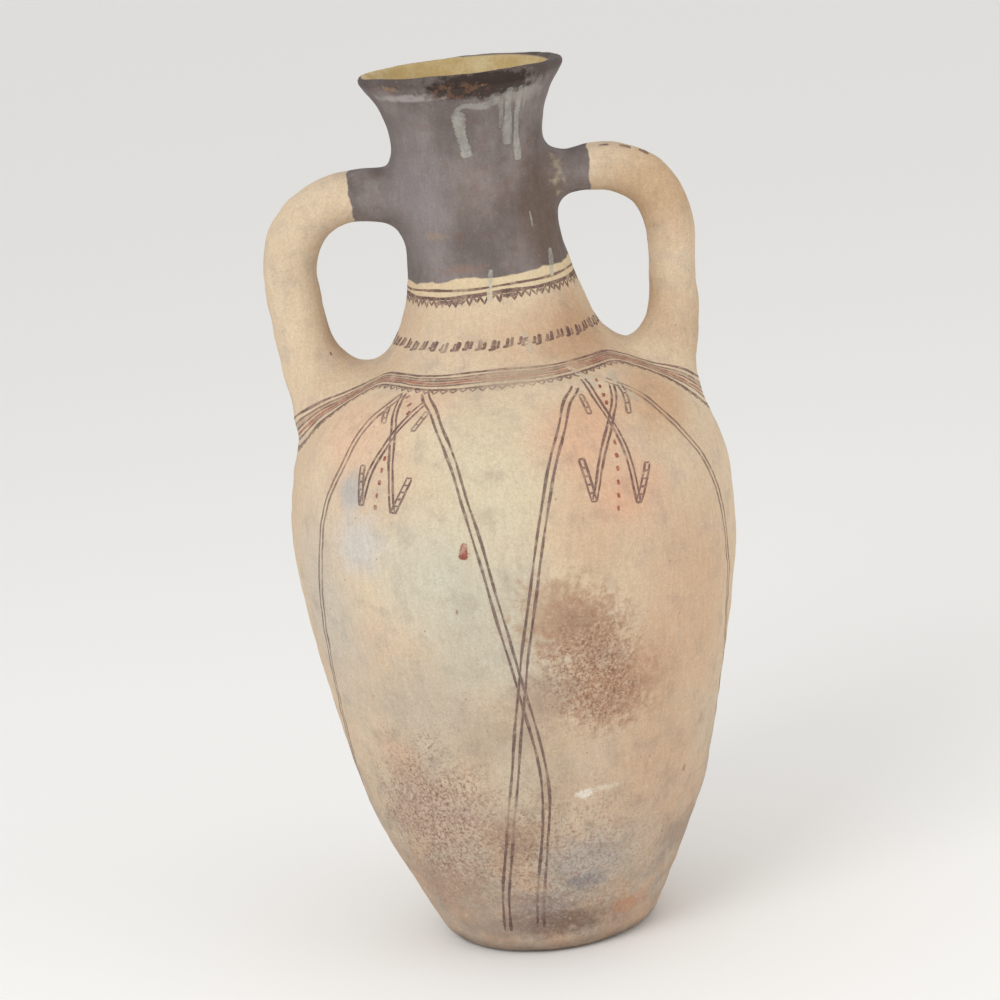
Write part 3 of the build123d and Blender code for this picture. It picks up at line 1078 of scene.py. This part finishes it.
    def slipped(self):
        """1 where slip was brushed: above a wavy line, and out to a wavy edge on each handle."""
        wave = self.times(self.minus(self.noise(16, 2.0, 0.5, seed=8), 0.5), 7.0 * MM)
        rise = self.times(self.math("DIVIDE", self.x, self.radius), 2.0 * MM)
        line = self.plus(self.plus(rise, SLIP_LINE), wave)
        reach = self.plus(self.x, wave)
        gaps = (self.minus(self.z, line), self.minus(SLIP_RIGHT, reach), self.plus(SLIP_LEFT, reach))
        above, right, left = (self.ease(gap, -0.5 * MM, 0.5 * MM) for gap in gaps)
        return self.times(above, self.times(right, left))

    def inside(self):
        """1 on the inside of the wall, and over the crest of the lip on the left, where slip is worn off."""
        leftward = self.math("MINIMUM", self.x, 0.0)
        above_neck = self.math("DIVIDE", self.minus(self.z, FLARE_FOOT), FLARE_HEIGHT)
        flare = self.math("POWER", self.math("MAXIMUM", above_neck, 0.0), 1.6)
        middle = self.plus(self.times(flare, FLARE_WIDTH), NECK_MIDDLE)
        facing = self.node("ShaderNodeTexCoord").outputs["Normal"]
        spoke = self.node("ShaderNodeCombineXYZ", {0: self.x, 1: self.y}).outputs[0]
        along = self.node("ShaderNodeVectorMath", {0: facing, 1: spoke}, operation="DOT_PRODUCT")
        outward = self.math("DIVIDE", along.outputs["Value"], self.radius)
        inward = self.ease(self.plus(outward, self.times(leftward, 5.0)), 0.05, -0.25)
        within = self.ease(self.minus(self.radius, middle), 5 * MM, 3 * MM)
        top = self.plus(self.z, self.minus(self.times(leftward, 0.12), self.times(self.y, 0.06)))
        return self.times(self.times(inward, within), self.ease(top, 516.5 * MM, 514.5 * MM))

    def shaded(self, colour):
        """A colour with the shading of grain and of brush and scraper streaks."""
        shades = (
            (self.fine, 0.32, 0.68, (226, 221, 214), 0.6),
            (self.brushed, 0.38, 0.62, (236, 232, 226), 0.35),
            (self.level, 0.38, 0.62, (238, 235, 230), 0.1),
        )
        for grain, low, high, dark, strength in shades:
            shade = self.mix(self.ease(grain, low, high), srgb(*dark), srgb(255, 255, 255))
            colour = self.multiply(strength, colour, shade)
        return colour

    def relief(self):
        """The normal of the surface, with grain, streaks and pits."""
        pits = self.ease(self.noise(2.6, 3.0, 0.7, seed=14), 0.66, 0.74)
        height = self.plus(self.times(self.fine, 0.17 * MM), self.times(self.brushed, 0.14 * MM))
        height = self.plus(height, self.times(self.level, 0.06 * MM))
        height = self.minus(height, self.times(pits, 0.12 * MM))
        return self.node("ShaderNodeBump", {"Height": height, "Distance": 1.0, "Strength": 0.7}).outputs[0]

    def worn(self):
        """1 where paint has been rubbed away."""
        worn = self.ease(self.noise(7, 4.0, 0.7, seed=15), 0.52, 0.72)
        for azimuth, height, wide, tall in WORN:
            worn = self.math("MAXIMUM", worn, self.patch(azimuth, height, wide, tall, 0.4, 6, 0.6))
        return worn


def clay_group():
    """Node group of the painted clay: its colour, its roughness, its normal and how worn it is."""
    tree = bpy.data.node_groups.new("fired_clay", "ShaderNodeTree")
    for label, kind in (("Color", "Color"), ("Roughness", "Float"), ("Normal", "Vector"), ("Worn", "Float")):
        tree.interface.new_socket(label, in_out="OUTPUT", socket_type=f"NodeSocket{kind}")
    graph = FiredClay(tree)
    inside = graph.inside()
    slipped = graph.times(graph.slipped(), graph.minus(1.0, inside))
    colour = graph.mix(slipped, graph.bare(), graph.slip())
    ochre = graph.mix(graph.ease(graph.mottle, 0.35, 0.7), srgb(186, 162, 112), srgb(204, 186, 146))
    throat = graph.times(graph.ease(graph.z, 395 * MM, 430 * MM), inside)
    colour = graph.shaded(graph.mix(throat, colour, ochre))
    roughness = graph.minus(0.90, graph.times(slipped, 0.14))
    ends = {"Color": colour, "Roughness": roughness, "Normal": graph.relief(), "Worn": graph.worn()}
    graph.node("NodeGroupOutput", ends)
    return tree


def new_material(name):
    """A new material and its shader."""
    material = bpy.data.materials.new(name)
    material.use_nodes = True
    return material, material.node_tree.nodes["Principled BSDF"]


def clay_material(name, group):
    """The clay itself."""
    material, shader = new_material(name)
    graph = Graph(material.node_tree)
    clay = graph.node("ShaderNodeGroup", node_tree=group)
    for label, source in (("Base Color", "Color"), ("Roughness", "Roughness"), ("Normal", "Normal")):
        graph.feed(shader.inputs[label], clay.outputs[source])
    shader.inputs["Specular IOR Level"].default_value = 0.25
    return material


def paint_material(name, group, colour, second, strength, wear, ragged):
    """Pigment that thins at the edges of each stroke and where the vessel is rubbed."""
    material, shader = new_material(name)
    graph = Graph(material.node_tree)
    clay = graph.node("ShaderNodeGroup", node_tree=group)
    across = graph.node("ShaderNodeAttribute", attribute_name="across").outputs["Fac"]
    load = graph.node("ShaderNodeAttribute", attribute_name="load").outputs["Fac"]
    uneven = graph.minus(graph.noise(0.9, 3.0, 0.6, seed=20), 0.5)
    spread = graph.plus(graph.math("ABSOLUTE", across), graph.times(uneven, ragged * 3))
    body = graph.ease(spread, 1.0, 0.7)
    thin = graph.ease(graph.noise(4.5, 3.0, 0.6, seed=21), 0.30, 0.55)
    body = graph.times(body, graph.plus(graph.times(thin, 0.3), 0.7))
    kept = graph.minus(1.0, graph.times(clay.outputs["Worn"], wear))
    share = graph.times(graph.times(body, kept), graph.times(load, strength))
    pigment = graph.mix(graph.ease(graph.noise(6, 3.0, 0.6, seed=22), 0.4, 0.6), srgb(*colour), srgb(*second))
    graph.feed(shader.inputs["Base Color"], graph.mix(share, clay.outputs["Color"], pigment))
    graph.feed(shader.inputs["Roughness"], clay.outputs["Roughness"])
    graph.feed(shader.inputs["Normal"], clay.outputs["Normal"])
    shader.inputs["Specular IOR Level"].default_value = 0.25
    return material


# Two colours of each pigment, its strength, how much rubbing takes off, and how ragged its edges are
PIGMENTS = {
    "manganese": ((82, 60, 62), (110, 82, 80), 0.93, 0.62, 0.2),
    "red_ochre": ((128, 58, 50), (156, 80, 66), 0.92, 0.5, 0.2),
    "lime": ((182, 182, 172), (160, 160, 152), 0.75, 0.6, 0.45),
}

# ---------------------------------------------------------------- light, floor and camera


def floor_and_world():
    """A plain pale floor that runs into a pale surround."""
    mesh = bpy.data.meshes.new("studio_floor")
    reach = 40.0
    corners = [(-reach, -reach, 0), (reach, -reach, 0), (reach, reach, 0), (-reach, reach, 0)]
    mesh.from_pydata(corners, [], [(0, 1, 2, 3)])
    floor = placed("studio_floor", mesh)
    material, shader = new_material("studio_paper")
    shader.inputs["Base Color"].default_value = (0.93, 0.93, 0.92, 1)
    shader.inputs["Roughness"].default_value = 0.9
    mesh.materials.append(material)
    world = bpy.data.worlds.new("studio_air")
    bpy.context.scene.world = world
    world.use_nodes = True
    background = world.node_tree.nodes["Background"]
    background.inputs["Color"].default_value = (1.0, 0.99, 0.975, 1)
    background.inputs["Strength"].default_value = 0.78


def lamp(name, place, size, power, colour=(1, 1, 1)):
    """A soft square lamp that faces the vessel."""
    light = bpy.data.lights.new(name, "AREA")
    light.size = size
    light.energy = power
    light.color = colour
    holder = placed(name, light)
    holder.location = place
    holder.rotation_euler = (Vector((0, 0, HEIGHT / 2)) - Vector(place)).to_track_quat("-Z", "Y").to_euler()


def camera():
    """The camera stands in front and a little above, and is tilted a little to one side."""
    distance, rise, roll = 1.98, math.radians(12.9), math.radians(6.0)
    back = Vector((0, -math.cos(rise), math.sin(rise)))
    upright = Vector((0, math.sin(rise), math.cos(rise)))
    level = Vector((1, 0, 0))
    right = level * math.cos(roll) - upright * math.sin(roll)
    up = level * math.sin(roll) + upright * math.cos(roll)
    lens = bpy.data.cameras.new("camera")
    lens.lens = 120.35
    lens.shift_x = -0.0094
    lens.shift_y = 0.0025
    holder = placed("camera", lens)
    axes = Matrix((right, up, back)).transposed().to_4x4()
    axes.translation = Vector((0, 0, 260 * MM)) + back * distance
    holder.matrix_world = axes
    bpy.context.scene.camera = holder


# ---------------------------------------------------------------- making it

PROFILE_Z, OUTER_R, INNER_R = wall_profile()

points, quads = clay_body()
points = relaxed(points, quads, 8)
points = hand_built(points, vertex_normals(points, quads))
normals = vertex_normals(points, quads)

group = clay_group()
clay = clay_material("painted_earthenware", group)
cut_pieces(points, quads, normals, clay)

surface = Surface(points, quads, normals)
brushes = {label: Paint(f"{label}_strokes", seed, surface) for seed, label in enumerate(PIGMENTS)}
manganese, red_ochre, lime = brushes.values()
paint_teeth(manganese)
paint_dabs(manganese)
paint_drips(lime)
paint_shoulder_band(manganese, red_ochre)
for turn in (0, 180):
    paint_motif(manganese, red_ochre, LEFT_MOTIF, turn)
    paint_motif(manganese, red_ochre, RIGHT_MOTIF, turn)
paint_accidents(manganese, red_ochre)
for label, looks in PIGMENTS.items():
    strokes = brushes[label].finish(paint_material(label, group, *looks))

floor_and_world()
lamp("key", (-1.1, -1.6, 1.5), 1.2, 19, (0.97, 0.99, 1.0))
lamp("fill", (1.7, -0.9, 0.8), 1.4, 7, (1.0, 0.985, 0.96))
camera()
bpy.context.scene.view_settings.view_transform = "Standard"
